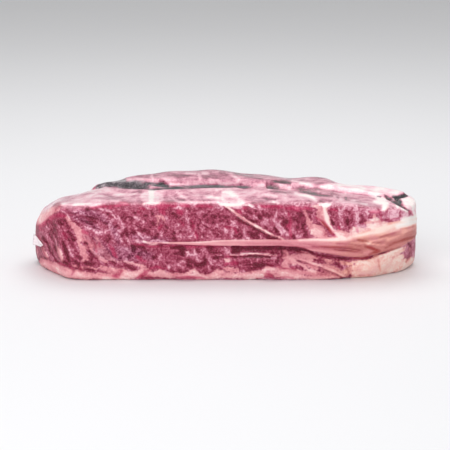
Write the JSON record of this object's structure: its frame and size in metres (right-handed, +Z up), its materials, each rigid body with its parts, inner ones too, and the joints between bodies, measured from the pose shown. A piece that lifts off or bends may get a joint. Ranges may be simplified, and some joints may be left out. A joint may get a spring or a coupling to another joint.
{
  "type": "beef chuck flap",
  "caption": "Whole boneless beef chuck flap sealed in tight clear film: a long block of marbled beef with a fold of film along its side and a flat underside.",
  "frame": {"origin": "middle of the underside, where the block rests", "axes": "+X along the block from its thin end to its thick end, -Y out of the marbled front wall, +Z up"},
  "size_m": [0.3371, 0.1271, 0.0772],
  "materials": {
    "beef": "moist marbled beef",
    "film": "clear glossy film"
  },
  "bodies": {
    "root": {"chuck_flap": "beef"}
  },
  "joints": []
}
